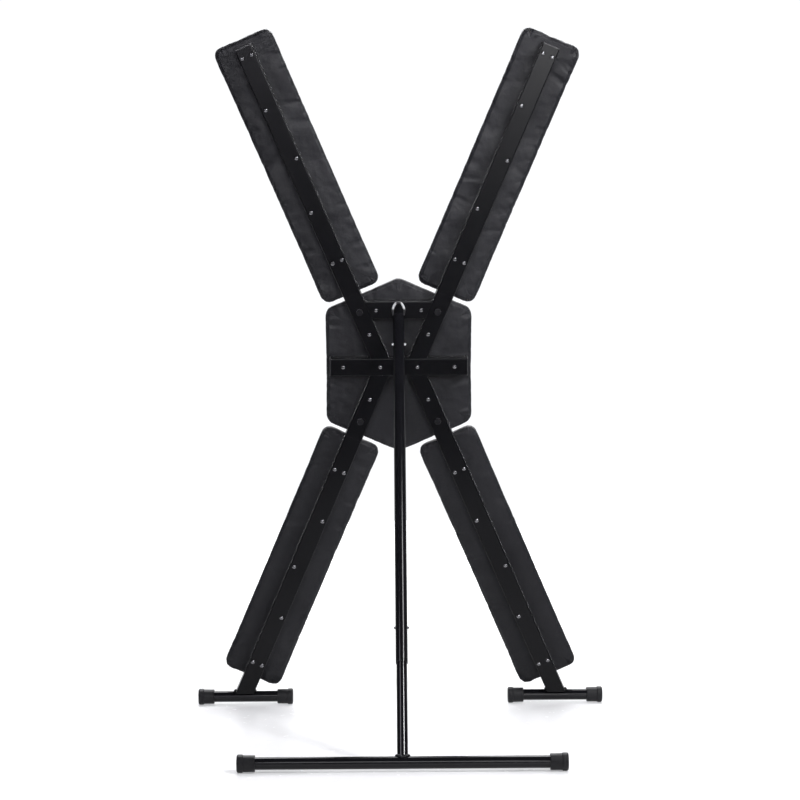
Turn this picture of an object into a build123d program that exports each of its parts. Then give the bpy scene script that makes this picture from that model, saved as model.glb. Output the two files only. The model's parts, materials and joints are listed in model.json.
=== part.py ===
import os
from math import cos, radians, sin

from build123d import *

# A free-standing padded X frame that knocks down for transport: a welded square-tube hub, four bolted
# arms, five upholstered pads, two foot tubes and a rear leg with slip joints and snap buttons.
# Millimetres and degrees. +Z is up, the pads face -Y, the rear leg reaches towards +Y.
# Left is -X and right is +X.

# ---- Driving dimensions ----
LEAN = 8.0                  # the frame leans back from the vertical
ARM_ANGLE = 23.1            # each arm from the frame's centre line
ARM_ROOT_X = 43.5           # arm centre line to frame centre line, at the crossbar's level
CROSSBAR_LEVEL = 986.0      # along the frame, up from the foot tube's axis
BRIDGE_LEVEL = 1150.0

BAR = 50.0                  # square tube, outside
BAR_WALL = 2.0
BAR_CORNER = 3.0
CROSSBAR_LENGTH = 390.0
STUB_END = 225.0            # hub stub and arm bar butt here, measured along the arm
UPPER_ARM_END = 982.0
LOWER_ARM_END_LEVEL = 12.0  # the arm's cut end above the foot tube's axis
PLUG_LIP = 3.0
PLUG_LIP_CHAMFER = 0.8
PLUG_DEPTH = 18.0
PLUG_SKIRT = 2.5
PLUG_CORNER = 1.5

SPIGOT_PLAY = 0.2           # spigot to tube bore, all round
SPIGOT_WALL = 2.5
SPIGOT_CORNER = 3.0
SPIGOT_REACH = 82.0         # each way from the butt joint
ARM_BOLT_PLACE = 172.0

ROUND_TUBE = 32.0
ROUND_WALL = 1.5
INNER_TUBE = 28.0           # slides in the leg tube
SLIP_CLEARANCE = 0.08       # radial
FOOT_X = 455.0
FOOT_LENGTH = 262.0
BASE_LENGTH = 822.0
BASE_Y = 955.0              # rear base axis behind the foot tubes' axis

CAP_BODY_R = 20.8
CAP_LIP_R = 23.0
CAP_LENGTH = 46.0
CAP_LIP_LENGTH = 16.0
CAP_END = 8.0
CAP_CHAMFER = 0.8           # at the open end
CAP_TAPER = 0.4             # the body grows by this much towards the lip
CAP_LIP_RISE = 2.0          # along the tube, from the body up to the lip
CAP_NOSE = ((4.0, 0.0), (1.2, 1.4), (0.0, 4.0))     # back from the end and in from the lip
CAP_FLAT = 0.4              # depth of the moulded flat that stands on the floor

LEG_TUBE_START = 20.0       # along the leg, from the bridge's back face
LEG_TUBE_LENGTH = 1077.0
SLIP_OVERLAP = 150.0
UPPER_BUTTON = 115.0
LOWER_BUTTON = 996.0
BUTTON_R = 3.5
BUTTON_HOLE_R = 3.7
BUTTON_TIP = 20.5           # from the leg's axis
BUTTON_DOME = 2.6
SPRING_FACE = 11.7
SPRING_THICK = 0.8
SPRING_WIDE = 8.0
SPRING_LENGTH = 54.0
SPRING_FLAT = 6.0           # half the straight stretch under a button
SPRING_NOSE = 4.0           # half the width of the fold

PAD_WIDTH = 178.0
PAD_LENGTH = 786.0
PAD_CORNER = 26.0
UPPER_PAD_START = 222.5
LOWER_PAD_START = 229.5
PAD_GAP = 10.0
TORSO_WIDTH = 420.0
TORSO_CORNER = 30.0
COVER = 1.5
BOARD = 12.0
FOAM = 40.0
FOAM_WRAP = 7.0             # the foam also covers the board's edges, so that the back edge is soft
PAD_FRONT_EDGE = 18.0
PAD_BACK_EDGE = 8.0

SCREW_R = 3.0
SCREW_HOLE_R = 3.3
SCREW_HEAD_R = 6.0
SCREW_HEAD = 3.6
SCREW_FLANGE = 0.6          # straight edge under the domed head
SCREW_CHAMFER = 1.0
SCREW_SOCKET = 4.0          # hex socket, across flats
SCREW_SOCKET_DEPTH = 2.2
SCREW_PITCH = 156.5         # along an arm
FIRST_SCREW = 330.0
PAIR_HALF = 14.0
STAGGER = 12.0

BOLT_R = 5.0
BOLT_HOLE_R = 5.5
BOLT_FLATS = 17.0
BOLT_HEAD = 6.4
BOLT_DOT = 0.6              # round raised face on top of the hexagon
BOLT_LENGTH = 16.0
NUT_HEIGHT = 8.0
WASHER_R = 10.0
WASHER = 2.0

TEE_BARREL_R = 4.0
TEE_FLANGE_R = 9.5
TEE_FLANGE = 1.2
TEE_BARREL = 9.0
THREAD_PLAY = 0.1           # radial; threads are plain cylinders

# ---- Derived dimensions ----
HALF_BAR = BAR / 2
BAR_BORE = BAR - 2 * BAR_WALL
TUBE_R = ROUND_TUBE / 2
INNER_R = INNER_TUBE / 2
FOOT_AXIS_HEIGHT = CAP_LIP_R - CAP_FLAT
PAD_BACK = HALF_BAR                       # the pads' back, in front of the frame's mid plane
PAD_THICK = 2 * COVER + BOARD + FOAM
BOARD_BACK = PAD_BACK + COVER
BOARD_FRONT = BOARD_BACK + BOARD
SPIGOT = BAR_BORE - 2 * SPIGOT_PLAY

# name: side (+1 right), level (+1 upper), first side of the staggered screws
ARMS = {
    "upper_right": (1, 1, -1),
    "upper_left": (-1, 1, -1),
    "lower_right": (1, -1, -1),
    "lower_left": (-1, -1, 1),
}
SIDES = {"left": -1, "right": 1}

# The frame's mid plane: x to the right, y up along the lean, z out of the padded front
FRAME = Plane(
    origin=(0, 0, FOOT_AXIS_HEIGHT),
    x_dir=(1, 0, 0),
    z_dir=(0, -cos(radians(LEAN)), sin(radians(LEAN))),
)
FRAME_UP = FRAME.y_dir


def frame_point(x, level, front=0.0):
    """A point given on the frame's mid plane."""
    return FRAME.from_local_coords(Vector(x, level, front))


def arm_plane(side, level):
    """An arm's own plane: x out along the arm, z out of the padded front."""
    lean_in = radians(ARM_ANGLE)
    along = FRAME.x_dir * (side * sin(lean_in)) + FRAME_UP * (level * cos(lean_in))
    return Plane(origin=frame_point(side * ARM_ROOT_X, CROSSBAR_LEVEL), x_dir=along, z_dir=FRAME.z_dir)


def section_plane(plane):
    """The plane square to another plane's x axis, for sections that are extruded along it."""
    return Plane(origin=plane.origin, x_dir=plane.z_dir, z_dir=plane.x_dir)


# The leg runs from the back of the bridge bar down to the rear base tube; z points down the leg
LEG_TOP = frame_point(0, BRIDGE_LEVEL, -HALF_BAR)
BASE_AXIS = Vector(0, BASE_Y, FOOT_AXIS_HEIGHT)
LEG = Plane(origin=LEG_TOP, x_dir=(1, 0, 0), z_dir=BASE_AXIS - LEG_TOP)
LEG_LENGTH = (BASE_AXIS - LEG_TOP).length


def square_tube(plane, start, end, size, wall, corner):
    """A straight square tube along the plane's z axis."""
    inside = size - 2 * wall
    with BuildPart() as tube:
        with BuildSketch(plane.offset(start)):
            RectangleRounded(size, size, corner)
            RectangleRounded(inside, inside, corner - wall, mode=Mode.SUBTRACT)
        extrude(amount=end - start)
    return tube.part


def round_tube(plane, start, end, outer_r, bore_r):
    """A straight round tube along the plane's z axis."""
    with BuildPart() as tube:
        with BuildSketch(plane.offset(start)):
            Circle(outer_r)
            Circle(bore_r, mode=Mode.SUBTRACT)
        extrude(amount=end - start)
    return tube.part


def rod(plane, start, end, radius):
    """A solid cylinder along the plane's z axis."""
    with BuildPart() as cylinder:
        with BuildSketch(plane.offset(start)):
            Circle(radius)
        extrude(amount=end - start)
    return cylinder.part


def cross_holes(plane, places, radius, back=-BAR, front=BAR):
    """Holes square to the frame, from back to front of its mid plane."""
    with BuildPart() as holes:
        with BuildSketch(plane.offset(back)):
            with Locations(*places):
                Circle(radius)
        extrude(amount=front - back)
    return holes.part


# ---- Screw places ----
def arm_screws(stagger):
    """Pad screws along an arm: a pair near each end and three staggered ones between."""
    last = FIRST_SCREW + 4 * SCREW_PITCH
    places = [(FIRST_SCREW, PAIR_HALF), (FIRST_SCREW, -PAIR_HALF)]
    places += [(last, PAIR_HALF), (last, -PAIR_HALF)]
    for step in (1, 2, 3):
        side = stagger if step % 2 else -stagger
        places.append((FIRST_SCREW + step * SCREW_PITCH, side * STAGGER))
    return places


CROSSBAR_SCREWS = [(x, CROSSBAR_LEVEL) for x in (-159, -53, 53, 159)]
BRIDGE_SCREWS = [(x, BRIDGE_LEVEL) for x in (-64, 64)]
STUB_SCREW = 102.5          # along the arm
STUB_SCREWS = []
for side, level, _ in ARMS.values():
    x = side * (ARM_ROOT_X + STUB_SCREW * sin(radians(ARM_ANGLE)))
    STUB_SCREWS.append((x, CROSSBAR_LEVEL + level * STUB_SCREW * cos(radians(ARM_ANGLE))))
TORSO_SCREWS = CROSSBAR_SCREWS + BRIDGE_SCREWS + STUB_SCREWS

pieces = {}                 # every finished piece by its node name


# ---- Welded hub ----
def crossbar():
    axis = Plane(origin=frame_point(0, CROSSBAR_LEVEL), x_dir=FRAME.z_dir, z_dir=FRAME.x_dir)
    half = CROSSBAR_LENGTH / 2
    with BuildPart() as bar:
        add(square_tube(axis, -half, half, BAR, BAR_WALL, BAR_CORNER))
        add(cross_holes(FRAME, CROSSBAR_SCREWS, SCREW_HOLE_R), mode=Mode.SUBTRACT)
    return bar.part


def hub_stub(side, level):
    """Short arm tube, mitred onto the crossbar and square at the butt joint."""
    plane = arm_plane(side, level)
    seat = Plane(
        origin=frame_point(0, CROSSBAR_LEVEL + level * HALF_BAR), x_dir=(1, 0, 0), z_dir=FRAME_UP * level
    )
    with BuildPart() as stub:
        add(square_tube(section_plane(plane), 0, STUB_END, BAR, BAR_WALL, BAR_CORNER))
        split(bisect_by=seat, keep=Keep.TOP)
        add(cross_holes(FRAME, STUB_SCREWS, SCREW_HOLE_R), mode=Mode.SUBTRACT)
        add(cross_holes(plane, [(ARM_BOLT_PLACE, 0)], BOLT_HOLE_R, front=0), mode=Mode.SUBTRACT)
    return stub.part


def bridge_bar():
    """Bar between the upper stubs, mitred to their inner faces."""
    axis = Plane(origin=frame_point(0, BRIDGE_LEVEL), x_dir=FRAME.z_dir, z_dir=FRAME.x_dir)
    with BuildPart() as bar:
        add(square_tube(axis, -CROSSBAR_LENGTH / 2, CROSSBAR_LENGTH / 2, BAR, BAR_WALL, BAR_CORNER))
        for side in SIDES.values():
            plane = arm_plane(side, 1)
            inward = plane.y_dir * side
            split(bisect_by=Plane(origin=plane.origin + inward * HALF_BAR, z_dir=inward), keep=Keep.TOP)
        add(cross_holes(FRAME, BRIDGE_SCREWS, SCREW_HOLE_R), mode=Mode.SUBTRACT)
    return bar.part


def button_holes(place, radius):
    """One hole across the leg, from side to side."""
    across = Plane(origin=LEG.from_local_coords(Vector(0, 0, place)), x_dir=LEG.z_dir, z_dir=(1, 0, 0))
    return rod(across, -ROUND_TUBE, ROUND_TUBE, radius)


def leg_spigot():
    """Round stub on the back of the bridge bar that the leg tube slides over."""
    back_face = Plane(origin=LEG_TOP, x_dir=(1, 0, 0), z_dir=-FRAME.z_dir)
    end = LEG_TUBE_START + SLIP_OVERLAP
    with BuildPart() as spigot:
        add(round_tube(LEG, -BAR, end, INNER_R, INNER_R - ROUND_WALL))
        split(bisect_by=back_face, keep=Keep.TOP)
        add(button_holes(UPPER_BUTTON, BUTTON_HOLE_R), mode=Mode.SUBTRACT)
    return spigot.part


def square_plug(plane):
    """Plastic plug: a lip over the tube's end and a hollow skirt in its bore."""
    hollow = SPIGOT - 2 * PLUG_SKIRT
    with BuildPart() as plug:
        with BuildSketch(plane):
            RectangleRounded(BAR, BAR, BAR_CORNER)
        extrude(amount=PLUG_LIP)
        chamfer(plug.faces().sort_by(Axis(plane.origin, plane.z_dir))[-1].edges(), PLUG_LIP_CHAMFER)
        with BuildSketch(plane):
            RectangleRounded(SPIGOT, SPIGOT, PLUG_CORNER)
            RectangleRounded(hollow, hollow, PLUG_CORNER, mode=Mode.SUBTRACT)
        extrude(amount=-PLUG_DEPTH)
    return plug.part


def plug_group(planes):
    with BuildPart() as plugs:
        for plane in planes:
            add(square_plug(plane))
    return plugs.part


pieces["crossbar"] = crossbar()
pieces["bridge_bar"] = bridge_bar()
pieces["leg_spigot"] = leg_spigot()
pieces["crossbar_end_plugs"] = plug_group(
    [
        Plane(
            origin=frame_point(side * CROSSBAR_LENGTH / 2, CROSSBAR_LEVEL),
            x_dir=FRAME.z_dir,
            z_dir=FRAME.x_dir * side,
        )
        for side in SIDES.values()
    ]
)
for name, (side, level, stagger) in ARMS.items():
    pieces[f"hub_stub_{name}"] = hub_stub(side, level)


# ---- Arms ----
def foot_plane(side):
    """The foot tube's axis plane, z along the tube."""
    return Plane(origin=(side * FOOT_X, 0, FOOT_AXIS_HEIGHT), x_dir=(0, 0, 1), z_dir=(1, 0, 0))


def arm_bar(side, level, stagger):
    """Square arm tube. The lower ones are cut level and saddled over the foot tube."""
    plane = arm_plane(side, level)
    end = UPPER_ARM_END if level > 0 else CROSSBAR_LEVEL / cos(radians(ARM_ANGLE)) + BAR
    with BuildPart() as bar:
        add(square_tube(section_plane(plane), STUB_END, end, BAR, BAR_WALL, BAR_CORNER))
        add(cross_holes(plane, arm_screws(stagger), SCREW_HOLE_R), mode=Mode.SUBTRACT)
        if level < 0:
            ground = Plane(origin=frame_point(0, LOWER_ARM_END_LEVEL), x_dir=(1, 0, 0), z_dir=(0, 0, 1))
            split(bisect_by=ground, keep=Keep.TOP)
            add(rod(foot_plane(side), -FOOT_LENGTH, FOOT_LENGTH, TUBE_R), mode=Mode.SUBTRACT)
    return bar.part


def arm_spigot(side, level):
    """Inner square tube that joins a hub stub to its arm bar."""
    plane = arm_plane(side, level)
    low, high = STUB_END - SPIGOT_REACH, STUB_END + SPIGOT_REACH
    with BuildPart() as spigot:
        add(square_tube(section_plane(plane), low, high, SPIGOT, SPIGOT_WALL, SPIGOT_CORNER))
        add(cross_holes(plane, [(ARM_BOLT_PLACE, 0)], BOLT_HOLE_R, front=0), mode=Mode.SUBTRACT)
    return spigot.part


def back_face_plane(side, level, place):
    """A plane on the arm's back face with z pointing in, towards the pads."""
    plane = arm_plane(side, level)
    return Plane(
        origin=plane.from_local_coords(Vector(place, 0, -HALF_BAR)), x_dir=plane.x_dir, z_dir=plane.z_dir
    )


def hex_prism(plane, start, height, flats, bore=0.0):
    with BuildPart() as prism:
        with BuildSketch(plane.offset(start)):
            RegularPolygon(flats / 2, 6, major_radius=False)
            if bore:
                Circle(bore, mode=Mode.SUBTRACT)
        extrude(amount=height)
    return prism.part


def joint_bolt(plane):
    """Hex bolt through the stub and spigot walls."""
    top = -WASHER - BOLT_HEAD
    with BuildPart() as bolt:
        add(hex_prism(plane, top, BOLT_HEAD, BOLT_FLATS))
        add(rod(plane, top - BOLT_DOT, top, BOLT_FLATS / 2 - BOLT_DOT))
        add(rod(plane, -WASHER, BOLT_LENGTH, BOLT_R))
    return bolt.part


def joint_washer(plane):
    return round_tube(plane, -WASHER, 0, WASHER_R, BOLT_HOLE_R)


def joint_nut(plane):
    """Nut welded inside the spigot's back wall."""
    inside = BAR_WALL + SPIGOT_PLAY + SPIGOT_WALL
    return hex_prism(plane, inside, NUT_HEIGHT, BOLT_FLATS, BOLT_R + THREAD_PLAY)


def joint_group(make):
    with BuildPart() as group:
        for side, level, _ in ARMS.values():
            add(make(back_face_plane(side, level, ARM_BOLT_PLACE)))
    return group.part


for name, (side, level, stagger) in ARMS.items():
    pieces[f"arm_bar_{name}"] = arm_bar(side, level, stagger)
    pieces[f"arm_spigot_{name}"] = arm_spigot(side, level)
pieces["arm_end_plugs"] = plug_group(
    [section_plane(arm_plane(side, 1)).offset(UPPER_ARM_END) for side in SIDES.values()]
)
pieces["arm_joint_bolts"] = joint_group(joint_bolt)
pieces["arm_joint_washers"] = joint_group(joint_washer)
pieces["arm_joint_nuts"] = joint_group(joint_nut)


# ---- Round tubes and their rubber caps ----
def rubber_cap(x_end, y, side):
    """Ferrule over a tube end at x_end, with a thicker lip and a flat where it stands."""
    open_end = x_end - side * (CAP_LENGTH - CAP_END)
    lip_start = x_end + side * (CAP_END - CAP_LIP_LENGTH)
    outer = x_end + side * CAP_END
    axis = Plane(origin=(0, y, FOOT_AXIS_HEIGHT), x_dir=(1, 0, 0), z_dir=(0, -1, 0))
    nose = [(outer - side * back, CAP_LIP_R - inward) for back, inward in CAP_NOSE]
    with BuildPart() as cap:
        with BuildSketch(axis):
            with BuildLine():
                Polyline(
                    (open_end, TUBE_R),
                    (open_end, CAP_BODY_R - CAP_CHAMFER),
                    (open_end + side * CAP_CHAMFER, CAP_BODY_R),
                    (lip_start, CAP_BODY_R + CAP_TAPER),
                    (lip_start + side * CAP_LIP_RISE, CAP_LIP_R),
                    *nose,
                    (outer, 0),
                    (x_end, 0),
                    (x_end, TUBE_R),
                    (open_end, TUBE_R),
                )
            make_face()
        revolve(axis=Axis((0, y, FOOT_AXIS_HEIGHT), (1, 0, 0)))
        split(bisect_by=Plane.XY, keep=Keep.TOP)
    return cap.part


BASE = Plane(origin=(0, BASE_Y, FOOT_AXIS_HEIGHT), x_dir=(0, 0, 1), z_dir=(1, 0, 0))
for name, side in SIDES.items():
    half = FOOT_LENGTH / 2
    pieces[f"foot_tube_{name}"] = round_tube(foot_plane(side), -half, half, TUBE_R, TUBE_R - ROUND_WALL)
    pieces[f"foot_cap_{name}_outer"] = rubber_cap(side * (FOOT_X + half), 0, side)
    pieces[f"foot_cap_{name}_inner"] = rubber_cap(side * (FOOT_X - half), 0, -side)
    pieces[f"base_cap_{name}"] = rubber_cap(side * BASE_LENGTH / 2, BASE_Y, side)
pieces["base_tube"] = round_tube(BASE, -BASE_LENGTH / 2, BASE_LENGTH / 2, TUBE_R, TUBE_R - ROUND_WALL)


# ---- Rear leg ----
def leg_tube():
    with BuildPart() as tube:
        end = LEG_TUBE_START + LEG_TUBE_LENGTH
        add(round_tube(LEG, LEG_TUBE_START, end, TUBE_R, INNER_R + SLIP_CLEARANCE))
        for place in (UPPER_BUTTON, LOWER_BUTTON):
            add(button_holes(place, BUTTON_HOLE_R), mode=Mode.SUBTRACT)
    return tube.part


def leg_riser():
    """Inner tube welded on the rear base, saddled over it."""
    start = LEG_TUBE_START + LEG_TUBE_LENGTH - SLIP_OVERLAP
    with BuildPart() as riser:
        add(round_tube(LEG, start, LEG_LENGTH, INNER_R, INNER_R - ROUND_WALL))
        add(rod(BASE, -BAR, BAR, TUBE_R), mode=Mode.SUBTRACT)
        add(button_holes(LOWER_BUTTON, BUTTON_HOLE_R), mode=Mode.SUBTRACT)
    return riser.part


def snap_spring(place, bend):
    """V-shaped strip spring in the leg's bore; bend is +1 when its fold points down the leg."""
    sheet = Plane(origin=LEG.origin, x_dir=LEG.x_dir, z_dir=-LEG.y_dir)
    fold = place + bend * SPRING_LENGTH

    def outline(face, nose, tip):
        left = [
            (-face, place - bend * tip),
            (-face, place + bend * SPRING_FLAT),
            (-nose, fold - bend * (SPRING_FACE - face)),
        ]
        return left + [(-x, y) for x, y in reversed(left)]

    with BuildPart() as spring:
        with BuildSketch(sheet):
            Polygon(*outline(SPRING_FACE, SPRING_NOSE, SPRING_FLAT), align=None)
            shoulder = SPRING_FACE - SPRING_THICK
            Polygon(
                *outline(shoulder, SPRING_NOSE - SPRING_THICK, SPRING_FLAT + 1),
                align=None,
                mode=Mode.SUBTRACT,
            )
        extrude(amount=SPRING_WIDE / 2, both=True)
    return spring.part


def snap_button(place, side):
    """Domed button on one end of the spring, through both tube walls."""
    seat = Plane(
        origin=LEG.from_local_coords(Vector(side * SPRING_FACE, 0, place)),
        x_dir=LEG.z_dir,
        z_dir=LEG.x_dir * side,
    )
    with BuildPart() as button:
        with BuildSketch(seat):
            Circle(BUTTON_R)
        extrude(amount=BUTTON_TIP - SPRING_FACE)
        tip = button.faces().sort_by(Axis(seat.origin, seat.z_dir))[-1]
        fillet(tip.edges(), BUTTON_DOME)
    return button.part


pieces["leg_tube"] = leg_tube()
pieces["leg_riser"] = leg_riser()
pieces["upper_snap_spring"] = snap_spring(UPPER_BUTTON, -1)
pieces["lower_snap_spring"] = snap_spring(LOWER_BUTTON, 1)
for name, side in SIDES.items():
    pieces[f"upper_snap_button_{name}"] = snap_button(UPPER_BUTTON, side)
    pieces[f"lower_snap_button_{name}"] = snap_button(LOWER_BUTTON, side)


# ---- Pads: plywood board, foam and a wrapped cover ----
def slab(outline, plane, back, thick, front_edge=0.0, back_edge=0.0):
    """A flat solid with rounded front and back edges."""
    with BuildPart() as body:
        with BuildSketch(plane.offset(back)) as face:
            add(outline)
        extrude(face.sketch, amount=thick)
        ends = body.faces().sort_by(Axis(plane.origin, plane.z_dir))
        if front_edge:
            fillet(ends[-1].edges(), front_edge)
        if back_edge:
            ends = body.faces().sort_by(Axis(plane.origin, plane.z_dir))
            fillet(ends[0].edges(), back_edge)
    return body.part


def arm_outline(level):
    """Gives the outline of an upper or lower arm pad at any inset."""
    start = UPPER_PAD_START if level > 0 else LOWER_PAD_START

    def outline(inset):
        with BuildSketch() as shape:
            with Locations((start + PAD_LENGTH / 2, 0)):
                RectangleRounded(PAD_LENGTH - 2 * inset, PAD_WIDTH - 2 * inset, PAD_CORNER - inset)
        return shape.sketch

    return outline


def torso_outline(inset):
    """Hexagon whose slanted edges run parallel to the arm pads' ends."""
    slope = radians(ARM_ANGLE)
    half = TORSO_WIDTH / 2

    def edge_level(start, x):
        reach = start - PAD_GAP + ARM_ROOT_X * sin(slope) - x * sin(slope)
        return reach / cos(slope)

    top = CROSSBAR_LEVEL + edge_level(UPPER_PAD_START, 0)
    shoulder = CROSSBAR_LEVEL + edge_level(UPPER_PAD_START, half)
    hip = CROSSBAR_LEVEL - edge_level(LOWER_PAD_START, half)
    bottom = CROSSBAR_LEVEL - edge_level(LOWER_PAD_START, 0)
    corners = [(0, top), (-half, shoulder), (-half, hip), (0, bottom), (half, hip), (half, shoulder)]
    with BuildSketch() as outline:
        Polygon(*corners, align=None)
        fillet(outline.vertices(), TORSO_CORNER)
        if inset:
            offset(amount=-inset, kind=Kind.TANGENT)
    return outline.sketch


def pad(name, plane, outline, screws):
    """The three pieces of one pad; outline(inset) gives its shape that far inside its edge."""
    edges = (PAD_FRONT_EDGE - COVER, PAD_BACK_EDGE - COVER)
    core = slab(outline(COVER), plane, BOARD_BACK, BOARD + FOAM, *edges)
    blank = slab(outline(COVER + FOAM_WRAP), plane, BOARD_BACK, BOARD)
    with BuildPart() as board:
        add(blank)
        add(cross_holes(plane, screws, TEE_BARREL_R), mode=Mode.SUBTRACT)
        add(cross_holes(plane, screws, TEE_FLANGE_R, back=BOARD_FRONT - TEE_FLANGE), mode=Mode.SUBTRACT)
    with BuildPart() as foam:
        add(core)
        add(blank, mode=Mode.SUBTRACT)
    with BuildPart() as cover:
        add(slab(outline(0), plane, PAD_BACK, PAD_THICK, PAD_FRONT_EDGE, PAD_BACK_EDGE))
        add(core, mode=Mode.SUBTRACT)
        add(cross_holes(plane, screws, SCREW_HOLE_R, front=BOARD_BACK), mode=Mode.SUBTRACT)
    pieces[f"{name}_board"] = board.part
    pieces[f"{name}_foam"] = foam.part
    pieces[f"{name}_cover"] = cover.part


# ---- Pad screws and tee nuts ----
def pad_screw(plane):
    """Pan-head screw; the plane lies on the bar's back face, z towards the pads."""
    tip = HALF_BAR + BOARD_FRONT - SCREW_CHAMFER
    profile = Plane(origin=plane.origin, x_dir=plane.z_dir, z_dir=plane.x_dir)
    with BuildPart() as screw:
        with BuildSketch(profile):
            with BuildLine():
                dome = ThreePointArc(
                    (-SCREW_HEAD, 0),
                    (-SCREW_HEAD * 0.84, SCREW_HEAD_R * 0.55),
                    (-SCREW_FLANGE, SCREW_HEAD_R),
                )
                Polyline(
                    dome @ 1,
                    (0, SCREW_HEAD_R),
                    (0, SCREW_R),
                    (tip - SCREW_CHAMFER, SCREW_R),
                    (tip, SCREW_R - SCREW_CHAMFER),
                    (tip, 0),
                    dome @ 0,
                )
            make_face()
        revolve(axis=Axis(plane.origin, plane.z_dir))
        with BuildSketch(plane.offset(-2 * SCREW_HEAD)):
            RegularPolygon(SCREW_SOCKET / 2, 6, major_radius=False)
        extrude(amount=SCREW_HEAD + SCREW_SOCKET_DEPTH, mode=Mode.SUBTRACT)
    return screw.part


def tee_nut(plane):
    """Flanged nut let into the front of the board."""
    front = HALF_BAR + BOARD_FRONT
    bore = SCREW_R + THREAD_PLAY
    with BuildPart() as nut:
        add(round_tube(plane, front - TEE_FLANGE, front, TEE_FLANGE_R, bore))
        add(round_tube(plane, front - TEE_BARREL, front - TEE_FLANGE, TEE_BARREL_R, bore))
    return nut.part


def screw_planes(plane, places):
    """Planes on the bar's back face at each screw, z towards the pads."""
    return [
        Plane(origin=plane.from_local_coords(Vector(x, y, -HALF_BAR)), x_dir=plane.x_dir, z_dir=plane.z_dir)
        for x, y in places
    ]


def fastener_group(make, planes):
    with BuildPart() as group:
        for plane in planes:
            add(make(plane))
    return group.part


all_screw_planes = screw_planes(FRAME, TORSO_SCREWS)
pad("torso", FRAME, torso_outline, TORSO_SCREWS)
pieces["torso_screws"] = fastener_group(pad_screw, all_screw_planes)
for name, (side, level, stagger) in ARMS.items():
    plane = arm_plane(side, level)
    places = arm_screws(stagger)
    pad(name, plane, arm_outline(level), places)
    planes = screw_planes(plane, places)
    pieces[f"{name}_screws"] = fastener_group(pad_screw, planes)
    all_screw_planes += planes
pieces["tee_nuts"] = fastener_group(tee_nut, all_screw_planes)

# ---- Origin at the middle of the footprint, then one file for each piece ----
box = Compound(children=[Compound(piece.solids()) for piece in pieces.values()]).bounding_box()
to_origin = Location((-box.center().X, -box.center().Y, -box.min.Z))
os.makedirs("parts", exist_ok=True)
for name, piece in pieces.items():
    placed = piece.moved(to_origin)
    placed.label = name
    export_step(placed, f"parts/{name}.step")

leg_top = LEG_TOP + to_origin.position
print("nodes", len(pieces), "box", box.size, "moved by", to_origin.position)
print("leg top", leg_top, "leg direction", LEG.z_dir, "leg length", LEG_LENGTH)
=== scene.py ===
import json
import math
import random

import bmesh
import bpy
import numpy as np
from mathutils import Matrix, Vector


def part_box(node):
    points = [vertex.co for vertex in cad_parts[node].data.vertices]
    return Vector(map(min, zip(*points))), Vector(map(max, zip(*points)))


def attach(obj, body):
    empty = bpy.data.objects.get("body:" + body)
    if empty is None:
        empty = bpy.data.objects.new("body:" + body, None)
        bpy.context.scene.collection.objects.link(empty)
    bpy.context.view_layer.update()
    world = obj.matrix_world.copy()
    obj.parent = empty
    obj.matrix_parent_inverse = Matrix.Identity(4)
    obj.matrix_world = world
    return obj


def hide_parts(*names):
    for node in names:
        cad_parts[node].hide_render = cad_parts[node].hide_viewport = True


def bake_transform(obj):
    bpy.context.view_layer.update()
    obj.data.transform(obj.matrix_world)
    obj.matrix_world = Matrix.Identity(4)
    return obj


# The looks of a free-standing padded X frame: painted square-tube hub and arms, five vinyl pads, gloss
# round tubes with rubber caps, and bright screws. Metres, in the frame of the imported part.

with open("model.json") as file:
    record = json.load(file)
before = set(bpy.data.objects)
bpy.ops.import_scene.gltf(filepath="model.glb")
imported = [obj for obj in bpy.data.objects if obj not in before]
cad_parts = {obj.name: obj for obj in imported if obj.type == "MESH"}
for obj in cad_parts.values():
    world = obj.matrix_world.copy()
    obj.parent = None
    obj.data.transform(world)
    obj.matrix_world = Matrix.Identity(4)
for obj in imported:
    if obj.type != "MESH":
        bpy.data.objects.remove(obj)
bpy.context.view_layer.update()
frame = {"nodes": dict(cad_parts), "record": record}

# ---- The frame's own directions ----
LEAN = math.radians(8.0)
ARM_ANGLE = math.radians(23.1)
RIGHT = Vector((1, 0, 0))
UP = Vector((0, math.sin(LEAN), math.cos(LEAN)))
FRONT = Vector((0, -math.cos(LEAN), math.sin(LEAN)))

ARMS = {
    "upper_right": (1, 1),
    "upper_left": (-1, 1),
    "lower_right": (1, -1),
    "lower_left": (-1, -1),
}
SIDES = {"left": -1, "right": 1}


def arm_axes(side, level):
    """Along the arm, across it, and out of the padded front."""
    along = RIGHT * (side * math.sin(ARM_ANGLE)) + UP * (level * math.cos(ARM_ANGLE))
    return along, FRONT.cross(along), FRONT


def vertex_vectors(mesh, kind="co"):
    """The mesh's vertex places, or their normals, as rows of an array."""
    values = np.empty(len(mesh.vertices) * 3)
    mesh.vertices.foreach_get(kind, values)
    return values.reshape(-1, 3)


def node_points(node):
    """A CAD node's vertices as rows of an array."""
    return vertex_vectors(frame["nodes"][node].data)


def extent(node, axes):
    """Lowest and highest coordinates of a node along each of the axes."""
    local = node_points(node) @ np.array(axes, float).T
    return local.min(0), local.max(0)


def add_mesh(name, bm):
    """A scene object made of the bmesh, which is used up."""
    mesh = bpy.data.meshes.new(name)
    bm.to_mesh(mesh)
    bm.free()
    made = bpy.data.objects.new(name, mesh)
    bpy.context.scene.collection.objects.link(made)
    return made


# ---- Material nodes ----
def set_socket(tree, socket, value):
    """Sets an input's value, or links the input to a socket."""
    if isinstance(value, bpy.types.NodeSocket):
        tree.links.new(value, socket)
    else:
        socket.default_value = value


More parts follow.
